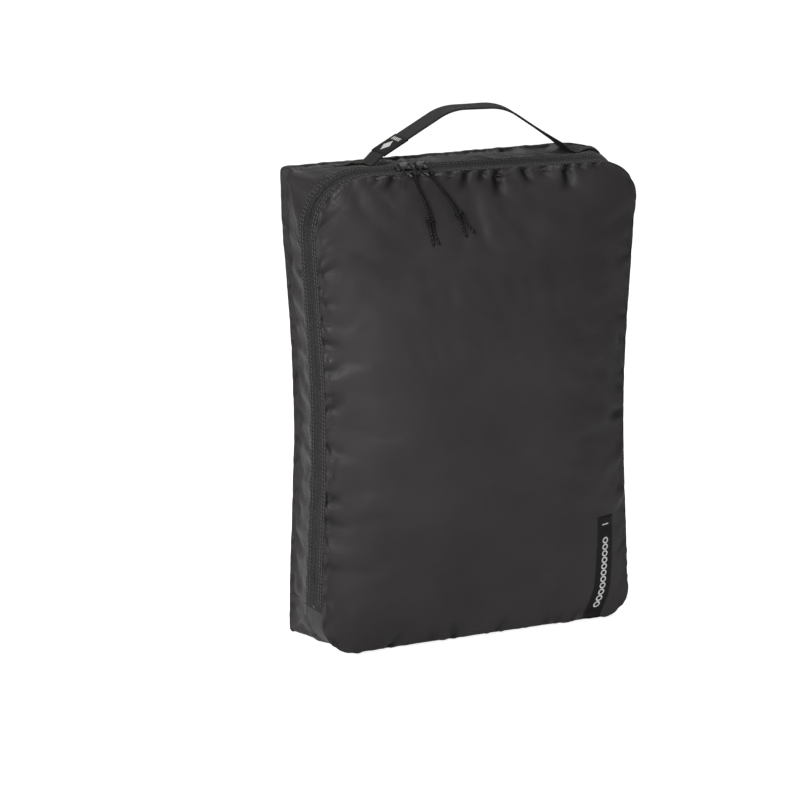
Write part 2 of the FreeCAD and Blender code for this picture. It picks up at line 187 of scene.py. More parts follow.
def mix_color(tree, fac, first, second):
    made = shader(tree, "ShaderNodeMix", {"Factor": fac}, data_type="RGBA")
    for socket, value in ((made.inputs[6], first), (made.inputs[7], second)):
        if isinstance(value, bpy.types.NodeSocket):
            tree.links.new(value, socket)
        else:
            socket.default_value = (*value, 1)
    return made.outputs[2]


def bump(tree, height, strength, distance, under=None):
    inputs = {"Height": height, "Strength": strength, "Distance": distance}
    if under is not None:
        inputs["Normal"] = under
    return shader(tree, "ShaderNodeBump", inputs).outputs["Normal"]


def new_material(name, **constants):
    """A Principled material and its tree; constants are set straight on its sockets."""
    made = bpy.data.materials.new(name)
    made.use_nodes = True
    principled = made.node_tree.nodes["Principled BSDF"]
    for key, value in constants.items():
        principled.inputs[key.replace("_", " ")].default_value = value
    return made, made.node_tree, principled


def feed(tree, principled, **outputs):
    for key, value in outputs.items():
        tree.links.new(value, principled.inputs[key.replace("_", " ")])


def braided():
    """Braided cord: the higher of sin(BRAID x + 4 pi y) and sin(BRAID x - 4 pi y), x along it; painted shade between
    the strands and a painted highlight on their tops.
    """
    made, tree, principled = new_material("braided_cord", Specular_IOR_Level=0.32)
    x, y = on_surface(tree)
    along, about = maths(tree, "MULTIPLY", x, BRAID), maths(tree, "MULTIPLY", y, 4 * math.pi)
    strands = maths(tree, "MAXIMUM", *(maths(tree, "SINE", maths(tree, way, along, about))
                                       for way in ("ADD", "SUBTRACT")))
    # Painted shade and highlight: the colour follows the strands' height, dark between them and light on top.
    feed(tree, principled, Base_Color=mix_color(tree, ramp(tree, strands, 0, 1), CORD_GROOVE_SHADE, CORD_STRAND_HIGHLIGHT),
         Roughness=ramp(tree, strands, 0, 1, 0.55, 0.34), Normal=bump(tree, strands, 0.8, 0.0005))
    return made


def finish_piece(piece, material, slot, ride=None, blend=None, replaces=()):
    """Gives a piece its material, attaches it to the body it rides with or bakes its transform when it blends, and
    hides the parts that it stands for. The slot is not used.
    """
    piece.data.materials.clear()
    piece.data.materials.append(material)
    if ride:
        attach(piece, ride)
    if blend:
        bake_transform(piece)
    if replaces:
        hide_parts(*replaces)
    return piece


CORD = braided()
for side in ("left", "right"):
    low, high = (np.array(corner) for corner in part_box("pull_knot_" + side))
    outer, inner = (np.array(CORD_POINTS[side + "_" + half]) for half in ("outer", "inner"))
    hangs = unit(outer[5] + inner[6] - outer[7] - inner[8])
    knot = nurbs("knot_" + side, knot_points((low + high) / 2, hangs), CORD_DIAMETER / 2, True)
    finish_piece(knot, CORD, "cord", ride="pull_" + side, replaces=["pull_knot_" + side])
    for half in ("outer", "inner"):
        name = side + "_" + half
        cord = nurbs("cord_" + name, CORD_POINTS[name], CORD_DIAMETER / 2)
        finish_piece(cord, CORD, "cord", ride="pull_" + side, replaces=["pull_cord_" + name])


# ---------------- the floor and the light
# A plain pale floor that goes over into a white surround, one broad soft lamp in front and to the
# left, and two weaker ones at the side and above.
FLOOR_DARK, FLOOR_LIGHT, FLOOR_HALF, FLOOR_GLOW = (0.90, 0.90, 0.90), (0.93, 0.93, 0.93), 6, 0.86
SURROUND, SURROUND_SEEN = 0.22, 1.0
LAMPS = (("key", (-1.2, -1.6, 1.1), (0, 0, 0.2), (0.9, 0.9), 29),
         ("side", (-1.6, 0.3, 0.6), (0, 0, 0.2), (0.5, 1.0), 4),
         ("top", (0.1, 0.5, 1.6), (0, 0, 0.3), (0.8, 0.5), 6))


def mesh_object(name, points, faces, uv=None, seam_uv=None, smooth=True):
    """A mesh from arrays of points and quads, with its UV maps given per point."""
    mesh = bpy.data.meshes.new(name)
    mesh.from_pydata(np.asarray(points).tolist(), [], np.asarray(faces).tolist())
    corner = np.empty(len(mesh.loops), int)
    mesh.loops.foreach_get("vertex_index", corner)
    for layer, values in (("UVMap", uv), ("Seam", seam_uv)):
        if values is not None:
            made = mesh.uv_layers.new(name=layer)
            made.data.foreach_set("uv", np.asarray(values)[corner].astype(np.float32).ravel())
    if smooth:
        mesh.shade_smooth()
    piece = bpy.data.objects.new(name, mesh)
    bpy.context.scene.collection.objects.link(piece)
    return piece


def noise(tree, place, scale, detail=3.0, roughness=0.5, kind="FBM"):
    return shader(tree, "ShaderNodeTexNoise", {"Vector": place, "Scale": scale, "Detail": detail,
                                               "Roughness": roughness}, noise_type=kind).outputs["Fac"]


def shader_group(name, inputs, outputs):
    """An empty shader group with named sockets, and the sockets inside it to read and to fill."""
    group = bpy.data.node_groups.new(name, "ShaderNodeTree")
    for way, sockets in (("INPUT", inputs), ("OUTPUT", outputs)):
        for key, kind in sockets.items():
            group.interface.new_socket(key, in_out=way, socket_type="NodeSocket" + kind)
    return group, group.nodes.new("NodeGroupInput").outputs, group.nodes.new("NodeGroupOutput").inputs


# Uneven finish: a fine noise in the piece's own coordinates goes from dark to light in colour, from
# smooth to rough, and stands up by its own value.
FINISH_IN = {"Scale": "Float", "Dark": "Color", "Light": "Color", "Smooth": "Float", "Rough": "Float"}
FINISH_OUT = {"Color": "Color", "Roughness": "Float", "Height": "Float"}
UNEVEN, given, gives = shader_group("uneven_finish", FINISH_IN, FINISH_OUT)
grain = noise(UNEVEN, coordinates(UNEVEN), given["Scale"])
spread = ramp(UNEVEN, grain, 0.3, 0.7)
UNEVEN.links.new(mix_color(UNEVEN, spread, given["Dark"], given["Light"]), gives["Color"])
UNEVEN.links.new(ramp(UNEVEN, spread, 0, 1, given["Smooth"], given["Rough"]), gives["Roughness"])
UNEVEN.links.new(grain, gives["Height"])


def grouped(name, group, deep, given, **constants):
    """A material that is one shader group with the values given; deep is its bump's strength and
    depth. Constants are set straight on the Principled sockets."""
    made, tree, principled = new_material(name, **constants)
    finish = shader(tree, "ShaderNodeGroup", given, node_tree=group).outputs
    feed(tree, principled, Base_Color=finish["Color"], Roughness=finish["Roughness"],
         Normal=bump(tree, finish["Height"], *deep))
    return made


def tones(dark, light, smooth, rough, **others):
    return {"Dark": (*dark, 1), "Light": (*light, 1), "Smooth": smooth, "Rough": rough, **others}


world = bpy.data.worlds.new("studio")
world.use_nodes = True
background = world.node_tree.nodes["Background"]
background.inputs["Color"].default_value = (1, 1, 1, 1)
seen = shader(world.node_tree, "ShaderNodeLightPath").outputs["Is Camera Ray"]
world.node_tree.links.new(ramp(world.node_tree, seen, 0, 1, SURROUND, SURROUND_SEEN), background.inputs["Strength"])
bpy.context.scene.world = world
bpy.context.scene.view_settings.view_transform = "Standard"

floor = mesh_object("floor", np.array([(-1, -1, 0), (1, -1, 0), (1, 1, 0), (-1, 1, 0)]) * FLOOR_HALF,
                    [(0, 1, 2, 3)], smooth=False)
paint = grouped("pale_floor", UNEVEN, (0.0, 0.0002), tones(FLOOR_DARK, FLOOR_LIGHT, 0.75, 0.85, Scale=2.0),
                Specular_IOR_Level=0.0, Emission_Color=(1, 1, 1, 1))
glow = shader(paint.node_tree, "ShaderNodeLightPath").outputs["Is Camera Ray"]
feed(paint.node_tree, paint.node_tree.nodes["Principled BSDF"],
     Emission_Strength=maths(paint.node_tree, "MULTIPLY", glow, FLOOR_GLOW))
floor.data.materials.append(paint)

for name, place, target, size, power in LAMPS:
    lamp_data = bpy.data.lights.new(name, "AREA")
    lamp_data.shape, lamp_data.energy = "RECTANGLE", power
    lamp_data.size, lamp_data.size_y = size
    lamp = bpy.data.objects.new(name, lamp_data)
    bpy.context.scene.collection.objects.link(lamp)
    look_at(lamp, place, target)


# ---------------- the bag's cloth
# Thin coated nylon, cut in panels and sewn. One closed skin comes first: a grid over the front, rings
# round its rolled rim, the zip band and the gusset, and a grid over the back, swelled by simulation.
TOP_LOW, TOP_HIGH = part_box("top_gusset")
HALF_WIDTH, HEIGHT = TOP_HIGH[0], TOP_HIGH[2]
GUSSET_Y, BACK_Y = TOP_LOW[1], TOP_HIGH[1]  # the gusset goes from the zip to the back panel
PANEL_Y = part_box("lid_zip_tape")[0][1]      # where the zip meets the front panel
FRONT_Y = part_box("front_panel_foot")[0][1]
FOLD_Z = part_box("front_panel_foot")[1][2]
RIM = (0.0042, 0.0020)                      # the front panel's rolled rim: its depth and its inset
TAPER = 0.003                               # how far the zip band leans in towards the front
BACK_RADIUS = 0.0025
FRONT_CROWN, BACK_CROWN = 0.0125, 0.010
PULL_IN = 0.0066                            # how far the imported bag's sides draw in at mid height
SPREAD = 0.0048                             # how far the full right side stands out at its front edge
TILT, SAG = 0.0028, 0.0065                  # the back seam's rise to the right, and its droop at the end
MOST = 0.009                                # the most that the simulation may move a point
CLOTH_DARK, CLOTH_LIGHT = (0.0268, 0.0238, 0.0244), (0.0392, 0.0350, 0.0356)
PAINTED_PUCKER_SHADE = (0.004, 0.0036, 0.0037)        # painted shade: the cloth's colour deep in a pucker, darkened where the crease is deepest
CLOTH_THREADS = 9000.0                      # 2 pi over the weave's pitch of 0.7 mm
NX, NZ = 74, 106                            # cells across and up each panel
ROUND = 2 * (NX + NZ)
ROLL_CELLS, BAND_CELLS, GUSSET_CELLS = 4, 8, 10
SEAM_ROW, GUSSET_ROW = ROLL_CELLS, ROLL_CELLS + BAND_CELLS
# Each corner's x side, whether it is at the top, the angle at its middle, and its radius when full.
CORNERS = ((-1, 0, 225, 0.032), (1, 0, 315, 0.024), (1, 1, 45, 0.030), (-1, 1, 135, 0.044))


def outline_ring(y, inset, squared=0.0):
    """ROUND points round the outline at depth y, from the middle of the bottom left corner's arc.
    Between two corners' middles they are evenly spaced along arc, straight and arc. The corners'
    radii go linearly to BACK_RADIUS as squared goes from 0 to 1."""
    sides = []
    for k in range(4):
        points = []
        for (x, top, turn, full), way in ((CORNERS[k], (0, 45)), (CORNERS[(k + 1) % 4], (-45, 0))):
            radius = full + (BACK_RADIUS - full) * squared - inset
            angles = np.radians(turn + np.linspace(*way, 9))
            centre = (x * (HALF_WIDTH - inset - radius), HEIGHT - inset - radius if top else inset + radius)
            points.append(np.array(centre) + radius * np.stack([np.cos(angles), np.sin(angles)], axis=1))
        points = np.concatenate(points)
        along = np.concatenate([[0], np.cumsum(np.linalg.norm(np.diff(points, axis=0), axis=1))])
        cells = NZ if k % 2 else NX
        at = np.linspace(0, along[-1], cells, endpoint=False)
        sides.append(np.stack([np.interp(at, along, points[:, i]) for i in (0, 1)], axis=1))
    flat = np.concatenate(sides)
    return np.stack([flat[:, 0], np.full(ROUND, y), flat[:, 1]], axis=1)


def ring_rows():
    """The rings from the edge of the front's flat to the back seam: the roll, the band, the gusset."""
    rows = []
    for turn in np.linspace(90, 0, ROLL_CELLS + 1):
        a = math.radians(turn)
        rows.append((PANEL_Y - RIM[0] * math.sin(a), TAPER + RIM[1] * (1 - math.cos(a))))
    for y in np.linspace(PANEL_Y, GUSSET_Y, BAND_CELLS + 1)[1:]:
        rows.append((y, TAPER * (GUSSET_Y - y) / (GUSSET_Y - PANEL_Y)))
    for share in np.linspace(0, 1, GUSSET_CELLS + 1)[1:]:
        rows.append((GUSSET_Y + share * (BACK_Y - GUSSET_Y), 0.0, share))
    return np.stack([outline_ring(*row) for row in rows])


def boundary():
    """Grid indices (i, j) of the ring's points, in the ring's order."""
    i = np.concatenate([np.arange(NX), np.full(NZ, NX), np.arange(NX, 0, -1), np.zeros(NZ, int)])
    j = np.concatenate([np.zeros(NX, int), np.arange(NZ), np.full(NX, NZ), np.arange(NZ, 0, -1)])
    return i, j


def panel_grid(ring, crown):
    """A panel inside a ring, as a Coons patch: the blend of its opposite sides, less its corners.
    It swells towards -Y by 16 crown u(1-u) v(1-v)."""
    i, j = boundary()
    edge = np.zeros((NX + 1, NZ + 1, 3))
    edge[i, j] = ring
    u, v = np.linspace(0, 1, NX + 1)[:, None, None], np.linspace(0, 1, NZ + 1)[None, :, None]
    patch = (1 - v) * edge[:, :1] + v * edge[:, -1:] + (1 - u) * edge[:1] + u * edge[-1:]
    patch -= (1 - u) * ((1 - v) * edge[0, 0] + v * edge[0, -1]) + u * ((1 - v) * edge[-1, 0] + v * edge[-1, -1])
    patch[:, :, 1] -= (16 * crown * u * (1 - u) * v * (1 - v))[:, :, 0]
    return patch


def slack(points):
    """The bag's sides draw in by PULL_IN sin^2(pi z / HEIGHT), the right side stands out by SPREAD
    at its front edge, and the back seam rises to the right."""
    x, y, z = points[..., 0], points[..., 1], points[..., 2]
    fore = np.clip((GUSSET_Y - y) / (GUSSET_Y - PANEL_Y), 0, 1)
    drawn = PULL_IN / HALF_WIDTH * np.sin(math.pi * np.clip(z / HEIGHT, 0, 1)) ** 2
    points[..., 0] = x * (1 - drawn + SPREAD / HALF_WIDTH * fore * np.clip(x / HALF_WIDTH, 0, 1) ** 2)
    behind = np.clip((y - GUSSET_Y) / (BACK_Y - GUSSET_Y), 0, 1) * np.clip(z / HEIGHT * 2 - 1, 0, 1)
    droop = SAG * np.clip((x / HALF_WIDTH - 0.72) / 0.28, 0, 1) ** 2
    points[..., 2] = z + (TILT * x / HALF_WIDTH - droop) * behind
    return points


def waves(u, v, seed, pitch, count=7):
    """A smooth uneven field of about -1 to 1: the mean of count sine waves in seeded directions,
    whose lengths are 0.6 to 1.6 times pitch."""
    random = np.random.default_rng(seed)
    total = np.zeros(np.broadcast(u, v).shape)
    for _ in range(count):
        turn, phase = random.uniform(0, 2 * math.pi, 2)
        length = pitch * random.uniform(0.6, 1.6)
        total += np.sin(2 * math.pi / length * (u * math.cos(turn) + v * math.sin(turn)) + phase)
    return total / math.sqrt(count)


def skin_indices():
    """Where each point of the rings and of the two grids is in the skin's list of points."""
    rings = np.arange(RINGS * ROUND).reshape(RINGS, ROUND)
    grids, used = [], RINGS * ROUND
    i, j = boundary()
    for ring in (rings[0], rings[-1]):
        grid = np.zeros((NX + 1, NZ + 1), int)
        grid[1:-1, 1:-1] = used + np.arange((NX - 1) * (NZ - 1)).reshape(NX - 1, NZ - 1)
        grid[i, j] = ring
        used += (NX - 1) * (NZ - 1)
        grids.append(grid)
    return rings, grids[0], grids[1]


def quads(index, flip=False):
    """The quads of a table of point indices."""
    faces = np.stack([index[:-1, :-1], index[1:, :-1], index[1:, 1:], index[:-1, 1:]], axis=-1).reshape(-1, 4)
    return faces[:, ::-1] if flip else faces


def round_quads(first, last, keep=None):
    """The quads of the rings from row first to row last, at the columns that keep allows."""
    index = np.concatenate([RING_AT, RING_AT[:, :1]], axis=1)[first:last + 1]
    faces = np.stack([index[:-1, :-1], index[1:, :-1], index[1:, 1:], index[:-1, 1:]], axis=-1)
    if keep is not None:
        faces = faces[:, keep]
    return faces.reshape(-1, 4)


def modifier(piece, kind, **settings):
    added = piece.modifiers.new(kind.title(), kind)
    for key, value in settings.items():
        setattr(added, key, value)
    return added


def apply_modifiers(piece):
    """Replaces the piece's mesh by what its modifiers make of it."""
    bpy.context.view_layer.update()
    evaluated = piece.evaluated_get(bpy.context.evaluated_depsgraph_get())
    made = bpy.data.meshes.new_from_object(evaluated, preserve_all_data_layers=True,
                                           depsgraph=bpy.context.evaluated_depsgraph_get())
    piece.modifiers.clear()
    piece.data = made
    return piece


def swell(start):
    """The skin after the cloth simulation: the seams are held, and the fabric between them is cut a few
    percent too large and filled with air. Its caller keeps each point within MOST of where it started."""
    faces = np.concatenate([quads(FRONT_AT), round_quads(0, RINGS - 1), quads(BACK_AT, True)])
    skin = mesh_object("bag_cloth", start, faces)
    hold, size = np.zeros(len(start)), np.full(len(start), 0.62)
    hold[RING_AT[SEAM_ROW:GUSSET_ROW + 1]] = 1.0
    hold[RING_AT[-1]] = 0.9
    size[RING_AT[:SEAM_ROW + 1]] = np.linspace(0.45, 0.05, SEAM_ROW + 1)[:, None]
    size[RING_AT[GUSSET_ROW:]] = 0.10
    resting = start[:, 2] < 0.0015
    hold[resting] = np.maximum(hold[resting], 0.8)
    for name, weights in (("hold", hold), ("size", size)):
        group = skin.vertex_groups.new(name=name)
        for value in np.unique(weights):
            group.add(np.flatnonzero(weights == value).tolist(), float(value), "REPLACE")
    cloth = modifier(skin, "CLOTH")
    settings = cloth.settings
    settings.quality, settings.mass = 7, 0.12
    settings.tension_stiffness = settings.compression_stiffness = 18
    settings.shear_stiffness, settings.bending_stiffness = 6, 0.35
    settings.vertex_group_mass, settings.pin_stiffness = "hold", 1.0
    settings.vertex_group_shrink, settings.shrink_min, settings.shrink_max = "size", -0.05, 0.02
    settings.use_pressure, settings.uniform_pressure_force = True, 2.2
    settings.effector_weights.gravity = 0
    cloth.collision_settings.use_collision = False
    cloth.point_cache.frame_start, cloth.point_cache.frame_end = 1, 40
    scene = bpy.context.scene
    for step in range(1, 31):
        scene.frame_set(step)
    apply_modifiers(skin)
    moved = np.empty(len(start) * 3)
    skin.data.vertices.foreach_get("co", moved)
    scene.frame_set(1)
    bpy.data.objects.remove(skin)
    return moved.reshape(-1, 3)


def shell_fabric():
    """Thin coated nylon: a fine plain weave, a soft uneven satin sheen, crumples at two sizes that
    deepen towards the seams as 0.25 + 1.6 exp(-32 away), gathers along the seams that fade as
    exp(-110 away), and painted shade that darkens its colour deep in the puckers."""
    made, tree, principled = new_material("shell_fabric", Sheen_Weight=0.06, Sheen_Roughness=0.35,
                                          Specular_IOR_Level=0.30)
    here = coordinates(tree)
    # Painted shade: the fold depth mixes the colour towards the pucker shade, and also dulls the gloss.
    fold = shader(tree, "ShaderNodeAttribute", attribute_name="fold").outputs["Fac"]
    tone = mix_color(tree, ramp(tree, noise(tree, here, 16.0), 0.3, 0.7), CLOTH_DARK, CLOTH_LIGHT)
    dull = maths(tree, "ADD", noise(tree, here, 60.0, 2.0), maths(tree, "MULTIPLY", fold, 0.4))
    feed(tree, principled, Base_Color=mix_color(tree, fold, tone, PAINTED_PUCKER_SHADE),
         Roughness=ramp(tree, dull, 0.3, 0.7, 0.38, 0.52))
    wander = shader(tree, "ShaderNodeTexNoise", {"Vector": here, "Scale": 35.0}).outputs["Color"]
    bent = shader(tree, "ShaderNodeVectorMath", {0: wander, 1: (0.02, 0.02, 0.02)}, operation="MULTIPLY")
    bent = shader(tree, "ShaderNodeVectorMath", {0: here, 1: bent.outputs[0]}, operation="ADD").outputs[0]
    cell = shader(tree, "ShaderNodeTexVoronoi", {"Vector": bent, "Scale": 42.0, "Smoothness": 0.6},
                  feature="SMOOTH_F1").outputs["Distance"]
    away = on_surface(tree, "Seam")[1]
    by_seam = maths(tree, "MULTIPLY", 1.6, maths(tree, "EXPONENT", maths(tree, "MULTIPLY", away, -32.0)))
    crumpled = bump(tree, maths(tree, "MULTIPLY", cell, maths(tree, "ADD", 0.25, by_seam)), 0.5, 0.0024)
    creased = bump(tree, noise(tree, here, 28.0, 3.5, 0.5, "RIDGED_MULTIFRACTAL"), 0.22, 0.0012, crumpled)
    gather = noise(tree, coordinates(tree, (150, 30, 1), "Seam"), 1.0, 2.0)
    fade = maths(tree, "EXPONENT", maths(tree, "MULTIPLY", away, -110.0))
    gathered = bump(tree, maths(tree, "MULTIPLY", gather, fade), 0.9, 0.0022, creased)
    weave = maths(tree, "MULTIPLY", *(ribs(tree, thread, CLOTH_THREADS) for thread in on_surface(tree)))
    feed(tree, principled, Normal=bump(tree, weave, 0.10, 0.0002, gathered))
    return made


RINGS = len(ring_rows())
RING_AT, FRONT_AT, BACK_AT = skin_indices()
rings = slack(ring_rows())
inside = (slice(1, -1), slice(1, -1))
SKIN = np.zeros((RINGS * ROUND + 2 * (NX - 1) * (NZ - 1), 3))
SKIN[RING_AT] = rings
SKIN[FRONT_AT[inside]] = panel_grid(rings[0], FRONT_CROWN)[inside]
SKIN[BACK_AT[inside]] = panel_grid(rings[-1], -BACK_CROWN)[inside]
rough = SKIN.copy()
free = np.ones(len(SKIN), bool)
free[RING_AT[SEAM_ROW:GUSSET_ROW + 1]] = False
rough[free, 1] += 0.0006 * waves(SKIN[:, 0] + SKIN[:, 1], SKIN[:, 2] + 0.5 * SKIN[:, 1], 3, 0.035)[free]
moved = swell(rough) - SKIN
SKIN = SKIN + moved * np.minimum(1, MOST / np.maximum(np.linalg.norm(moved, axis=1, keepdims=True), 1e-9))
RING = SKIN[RING_AT]
FABRIC = shell_fabric()


# ---------------- the front panel
# One rectangle of the nylon with rounded corners, gathered a little into the seam round its rim, so it
# puckers there. It is the lid, and folds down at the zip's ends, a little above the bottom.
FOLDS = ("shell", "lid", (0, FRONT_Y, FOLD_Z - 0.001), (0, FRONT_Y, FOLD_Z + 0.020))
ZIP_Y, ZIP_ROW = (GUSSET_Y + PANEL_Y) / 2, SEAM_ROW + BAND_CELLS // 2
ALONG = np.concatenate([[0], np.cumsum(np.linalg.norm(np.diff(
    np.concatenate([RING[ZIP_ROW], RING[ZIP_ROW][:1]]), axis=0), axis=1))])
RIM_GIRTH = math.pi / 2 * math.hypot(*RIM) / math.sqrt(2)
TOP_SEAM = ALONG[NX + NZ], ALONG[2 * NX + NZ]
# The deep puckers under the top seam, by x: x, length, half width, depth and slant of each.
TOP_PUCKERS = ((0.0160, 0.026, 0.0026, 0.0040, 0.10), (0.0363, 0.019, 0.0024, 0.0031, -0.15),
               (0.0707, 0.025, 0.0027, 0.0043, 0.28), (0.0924, 0.009, 0.0022, 0.0023, 0.10),
               (0.0805, 0.011, 0.0020, 0.0016, -0.10), (0.0520, 0.013, 0.0024, 0.0018, 0.15),
               (0.0050, 0.014, 0.0025, 0.0023, 0.25), (-0.0070, 0.020, 0.0027, 0.0028, 0.30),
               (-0.0210, 0.011, 0.0022, 0.0016, 0.20), (-0.0640, 0.018, 0.0027, 0.0020, 0.30),
               (-0.0760, 0.011, 0.0022, 0.0017, 0.20))


def seam_distance():
    """Each skin point's place by the nearest seam: how far along the ring, and how far from it."""
    along, away = np.zeros(len(SKIN)), np.full(len(SKIN), 0.2)
    i, j = np.meshgrid(np.arange(NX + 1), np.arange(NZ + 1), indexing="ij")
    sides = np.stack([j, NX - i, NZ - j, i])
    nearest = sides.argmin(axis=0)
    ring_index = np.choose(nearest, [i, NX + j, 2 * NX + NZ - i, ROUND - j]) % ROUND
    for grid, base in ((FRONT_AT, RIM_GIRTH), (BACK_AT, 0.0)):
        along[grid] = ALONG[ring_index]
        away[grid] = base + sides.min(axis=0) * 2 * HALF_WIDTH / NX
    for row in range(RINGS):
        along[RING_AT[row]] = ALONG[:-1]
        if row <= SEAM_ROW:
            away[RING_AT[row]] = (SEAM_ROW - row) * RIM_GIRTH / ROLL_CELLS
        elif row >= GUSSET_ROW:
            away[RING_AT[row]] = min(row - GUSSET_ROW, RINGS - 1 - row) * 0.004
    return np.stack([along, away], axis=1)


def top_along(x):
    """How far round the ring the top seam is at each x."""
    top = RING[SEAM_ROW, NX + NZ:2 * NX + NZ + 1, 0]
    return np.interp(x, top[::-1], ALONG[NX + NZ:2 * NX + NZ + 1][::-1])


def random_creases(seed, first, last, spacing, scale=1.0):
    """Seeded creases along a seam: place, length, half width, depth and slant of each."""
    random = np.random.default_rng(seed)
    even = np.arange(first, last, spacing)
    place = even + random.uniform(-0.4, 0.4, len(even)) * spacing
    size = random.uniform(0.0, 1.0, len(place)) ** 1.5
    return np.stack([place, 0.006 + 0.018 * size, 0.0016 + 0.0014 * size, scale * (0.0003 + 0.0011 * size),
                     random.uniform(-0.45, 0.45, len(place))], axis=1)


def crease_depth(seam, creases):
    """How deep the creases run into the cloth. Each is a valley with a ridge on both sides across
    its width w, exp(-t^2) - 0.12 exp(-(t-1.8)^2) - 0.08 exp(-(t+1.8)^2) with t = distance / w; along
    its length it deepens over 2 mm from the seam and then fades as a cosine."""
    depth = np.zeros(len(seam))
    for place, length, width, deep, slant in creases:
        near = np.abs(seam[:, 0] - place) < 8 * width + abs(slant) * length
        t = (seam[near, 0] - place - slant * seam[near, 1]) / (width * (1 + seam[near, 1] / length))
        a = np.clip(seam[near, 1] / length, 0, 1)
        fade = np.cos(a * math.pi / 2) * (0.35 + 0.65 * np.clip(seam[near, 1] / 0.002, 0, 1))
        ridges = 0.12 * np.exp(-(t - 1.8) ** 2) + 0.08 * np.exp(-(t + 1.8) ** 2)
        depth[near] += deep * fade * (np.exp(-t ** 2) - ridges)
    return depth


def cloth_piece(name, faces, uv, creases, thickness=0.0007):
    """A piece of the skin as a subdivided sheet, creased, with the fabric's thickness inside it."""
    used, where = np.unique(faces, return_inverse=True)
    piece = mesh_object(name, SKIN[used], where.reshape(-1, 4), uv[used], SEAM_UV[used])
    modifier(piece, "SUBSURF", levels=1, render_levels=1)
    apply_modifiers(piece)
    mesh = piece.data
    count = len(mesh.vertices)
    points, normals, seam = np.empty(count * 3), np.empty(count * 3), np.zeros((count, 2))
    mesh.vertices.foreach_get("co", points)
    mesh.vertices.foreach_get("normal", normals)
    corner, values = np.empty(len(mesh.loops), int), np.empty(len(mesh.loops) * 2)
    mesh.loops.foreach_get("vertex_index", corner)
    mesh.uv_layers["Seam"].data.foreach_get("uv", values)
    seam[corner] = values.reshape(-1, 2)
    deep = crease_depth(seam, creases)
    # The crease depth, kept for the painted shade in the puckers and a duller gloss there.
    mesh.attributes.new("fold", "FLOAT", "POINT").data.foreach_set("value", np.clip(deep / 0.0022, 0, 1))
    points = points.reshape(-1, 3) - normals.reshape(-1, 3) * deep[:, None]
    points[:, 2] = np.maximum(points[:, 2], 0.0002)
    mesh.vertices.foreach_set("co", points.ravel())
    mesh.update()
    modifier(piece, "SOLIDIFY", thickness=thickness, offset=-1.0)
    return apply_modifiers(piece)


SEAM_UV = seam_distance()
FLAT_UV = SKIN[:, [0, 2]]
puckers = np.array(TOP_PUCKERS)
puckers[:, 0] = top_along(puckers[:, 0])
front_creases = np.concatenate([puckers, random_creases(5, 0.0, TOP_SEAM[0], 0.013),
                                random_creases(6, TOP_SEAM[1], ALONG[-1], 0.011)])
front = cloth_piece("front_fabric", np.concatenate([quads(FRONT_AT), round_quads(0, SEAM_ROW)]), FLAT_UV,
                    front_creases)
finish_piece(front, FABRIC, "shell_fabric", blend=FOLDS, replaces=["front_panel", "front_panel_foot"])


# ---------------- the back panel
# The same nylon in one plain rectangle with square corners, sewn to the gusset all round.
back = cloth_piece("back_fabric", quads(BACK_AT, True), FLAT_UV, random_creases(9, 0.0, ALONG[-1], 0.016))
finish_piece(back, FABRIC, "shell_fabric", ride="shell", replaces=["back_panel"])


# ---------------- the gusset
# A long strip of the nylon that goes up one side, over the top and down the other, behind the zip,
# and a shorter, deeper piece sewn to its ends that makes the bottom.
ON_RIGHT = NX + int(np.argmax(RING[ZIP_ROW, NX:NX + NZ, 2] > FOLD_Z))
ON_LEFT = 2 * NX + NZ + int(np.argmax(RING[ZIP_ROW, 2 * NX + NZ:, 2] < FOLD_Z))
WITH_ZIP = (np.arange(ROUND) >= ON_RIGHT) & (np.arange(ROUND) < ON_LEFT)
strip_uv = np.stack([SEAM_UV[:, 0], SKIN[:, 1]], axis=1)
gusset_creases = random_creases(8, 0.0, ALONG[-1], 0.019, 0.7)
over_top = (gusset_creases[:, 0] > TOP_SEAM[0]) & (gusset_creases[:, 0] < TOP_SEAM[1])
gusset_creases[over_top, 3] *= 0.45
strip = cloth_piece("gusset_fabric", round_quads(GUSSET_ROW, RINGS - 1, WITH_ZIP), strip_uv, gusset_creases)
finish_piece(strip, FABRIC, "shell_fabric", ride="shell", replaces=["top_gusset", "left_gusset", "right_gusset"])
bottom = cloth_piece("bottom_fabric", np.concatenate([
    round_quads(GUSSET_ROW, RINGS - 1, ~WITH_ZIP), round_quads(SEAM_ROW, GUSSET_ROW, ~WITH_ZIP)]),
    strip_uv, gusset_creases)
finish_piece(bottom, FABRIC, "shell_fabric", ride="shell", replaces=["bottom_gusset"])


# ---------------- the seam bindings
# Narrow ribbed tape, folded over the raw seam allowances inside and sewn through: one round the front
# seam, in two because the front panel folds down at the zip's ends, and one round the back seam.
BINDING_WIDTH, BINDING_THICKNESS = 0.006, 0.0010
BINDING_RIB = 0.0009
ON_LID, ON_SHELL = {"blend": FOLDS}, {"ride": "shell"}


def grid_faces(rows, columns, closed=False):
    """Quads of a grid stored row by row; closed joins the last column to the first."""
    r, c = np.meshgrid(np.arange(rows - 1), np.arange(columns if closed else columns - 1), indexing="ij")
    after = (c + 1) % columns
    return np.stack([r * columns + c, (r + 1) * columns + c, (r + 1) * columns + after,
                     r * columns + after], axis=-1).reshape(-1, 4)


